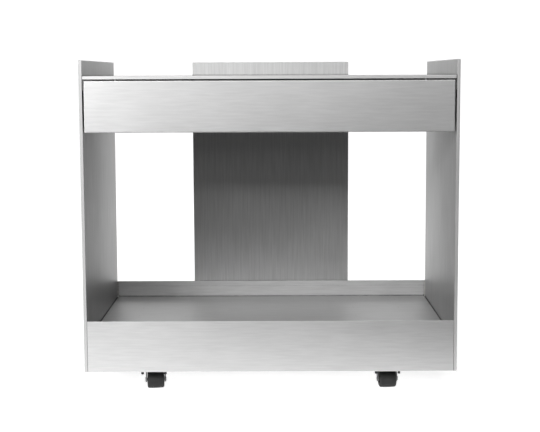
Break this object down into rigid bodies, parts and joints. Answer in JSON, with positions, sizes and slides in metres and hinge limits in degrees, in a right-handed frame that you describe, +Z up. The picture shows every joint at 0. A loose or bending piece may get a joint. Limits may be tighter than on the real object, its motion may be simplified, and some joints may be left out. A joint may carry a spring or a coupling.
{
  "type": "serving trolley",
  "caption": "Brushed stainless serving trolley with upstanding side panels and back plank, worktop, inset drawer, rimmed lower tray and swivel castors.",
  "frame": {"origin": "on the floor, at the middle of the footprint", "axes": "+X to the trolley's right as seen from the front, +Y to the rear, +Z up; the drawer opens to -Y"},
  "size_m": [0.8, 0.45, 0.717],
  "materials": {
    "brushed_sheet": "stainless sheet with a fine one-way brushed grain",
    "rail_sheet": "plain rolled stainless",
    "runner_steel": "bright zinc plated",
    "ball_steel": "polished",
    "fastener_steel": "plain stainless",
    "castor_steel": "zinc plated pressed steel",
    "buffer_rubber": "matt",
    "tyre_rubber": "matt moulded",
    "wheel_plastic": "matt moulded"
  },
  "bodies": {
    "carcass": {"left_side_shell": "brushed_sheet", "left_side_liner": "brushed_sheet", "right_side_shell": "brushed_sheet", "right_side_liner": "brushed_sheet", "back_plank_shell": "brushed_sheet", "back_plank_liner": "brushed_sheet", "worktop": "brushed_sheet", "worktop_rail_left": "rail_sheet", "worktop_rail_right": "rail_sheet", "rear_apron": "brushed_sheet", "drawer_buffers": "buffer_rubber", "tray_floor": "brushed_sheet", "tray_front_fascia": "brushed_sheet", "tray_rear_fascia": "brushed_sheet", "castor_bearer_left": "rail_sheet", "castor_bearer_right": "rail_sheet", "frame_weld_studs": "fastener_steel", "frame_nuts": "fastener_steel", "runner_outer_left": "runner_steel", "runner_outer_right": "runner_steel", "runner_outer_screws": "fastener_steel", "runner_clinch_nuts": "fastener_steel", "castor_plate_front_left": "castor_steel", "castor_plate_front_right": "castor_steel", "castor_plate_rear_left": "castor_steel", "castor_plate_rear_right": "castor_steel", "castor_kingpins": "castor_steel", "castor_swivel_balls": "ball_steel", "castor_bolts": "fastener_steel", "castor_nuts": "fastener_steel"},
    "drawer": {"drawer_front_shell": "brushed_sheet", "drawer_front_liner": "brushed_sheet", "drawer_box": "brushed_sheet", "drawer_weld_studs": "fastener_steel", "drawer_nuts": "fastener_steel", "runner_inner_left": "runner_steel", "runner_inner_right": "runner_steel", "runner_inner_screws": "fastener_steel"},
    "runner_middles": {"runner_middle_left": "runner_steel", "runner_middle_right": "runner_steel"},
    "outer_ball_strips": {"runner_outer_ball_strips": "runner_steel", "runner_outer_balls": "ball_steel"},
    "inner_ball_strips": {"runner_inner_ball_strips": "runner_steel", "runner_inner_balls": "ball_steel"},
    "castor_front_left": {"castor_fork_front_left": "castor_steel", "castor_axle_front_left": "castor_steel"},
    "wheel_front_left": {"wheel_core_front_left": "wheel_plastic", "tyre_front_left": "tyre_rubber"},
    "castor_front_right": {"castor_fork_front_right": "castor_steel", "castor_axle_front_right": "castor_steel"},
    "wheel_front_right": {"wheel_core_front_right": "wheel_plastic", "tyre_front_right": "tyre_rubber"},
    "castor_rear_left": {"castor_fork_rear_left": "castor_steel", "castor_axle_rear_left": "castor_steel"},
    "wheel_rear_left": {"wheel_core_rear_left": "wheel_plastic", "tyre_rear_left": "tyre_rubber"},
    "castor_rear_right": {"castor_fork_rear_right": "castor_steel", "castor_axle_rear_right": "castor_steel"},
    "wheel_rear_right": {"wheel_core_rear_right": "wheel_plastic", "tyre_rear_right": "tyre_rubber"}
  },
  "joints": [
    {"name": "drawer_slide", "type": "slide", "parent": "carcass", "child": "drawer", "axis": [0, -1, 0], "range_m": [0, 0.38]},
    {"name": "runner_middle_slide", "type": "slide", "parent": "carcass", "child": "runner_middles", "axis": [0, -1, 0], "range_m": [0, 0.19]},
    {"name": "outer_ball_strip_slide", "type": "slide", "parent": "carcass", "child": "outer_ball_strips", "axis": [0, -1, 0], "range_m": [0, 0.095]},
    {"name": "inner_ball_strip_slide", "type": "slide", "parent": "runner_middles", "child": "inner_ball_strips", "axis": [0, -1, 0], "range_m": [0, 0.095]},
    {"name": "castor_swivel_front_left", "type": "hinge", "parent": "carcass", "child": "castor_front_left", "pos_m": [-0.255, -0.1545, 0.045], "axis": [0, 0, 1], "continuous": true},
    {"name": "wheel_spin_front_left", "type": "hinge", "parent": "castor_front_left", "child": "wheel_front_left", "pos_m": [-0.25305, -0.17038, 0.019], "axis": [-0.9925, -0.1219, 0], "continuous": true},
    {"name": "castor_swivel_front_right", "type": "hinge", "parent": "carcass", "child": "castor_front_right", "pos_m": [0.255, -0.1545, 0.045], "axis": [0, 0, 1], "continuous": true},
    {"name": "wheel_spin_front_right", "type": "hinge", "parent": "castor_front_right", "child": "wheel_front_right", "pos_m": [0.25612, -0.17046, 0.019], "axis": [-0.9976, -0.0698, 0], "continuous": true},
    {"name": "castor_swivel_rear_left", "type": "hinge", "parent": "carcass", "child": "castor_rear_left", "pos_m": [-0.255, 0.1475, 0.045], "axis": [0, 0, 1], "continuous": true},
    {"name": "wheel_spin_rear_left", "type": "hinge", "parent": "castor_rear_left", "child": "wheel_rear_left", "pos_m": [-0.255, 0.1315, 0.019], "axis": [-1, 0, 0], "continuous": true},
    {"name": "castor_swivel_rear_right", "type": "hinge", "parent": "carcass", "child": "castor_rear_right", "pos_m": [0.255, 0.1475, 0.045], "axis": [0, 0, 1], "continuous": true},
    {"name": "wheel_spin_rear_right", "type": "hinge", "parent": "castor_rear_right", "child": "wheel_rear_right", "pos_m": [0.255, 0.1315, 0.019], "axis": [-1, 0, 0], "continuous": true}
  ],
  "couplings": [
    {"joint": "runner_middle_slide", "follows": "drawer_slide", "ratio": 0.5},
    {"joint": "outer_ball_strip_slide", "follows": "drawer_slide", "ratio": 0.25},
    {"joint": "inner_ball_strip_slide", "follows": "drawer_slide", "ratio": 0.25}
  ]
}
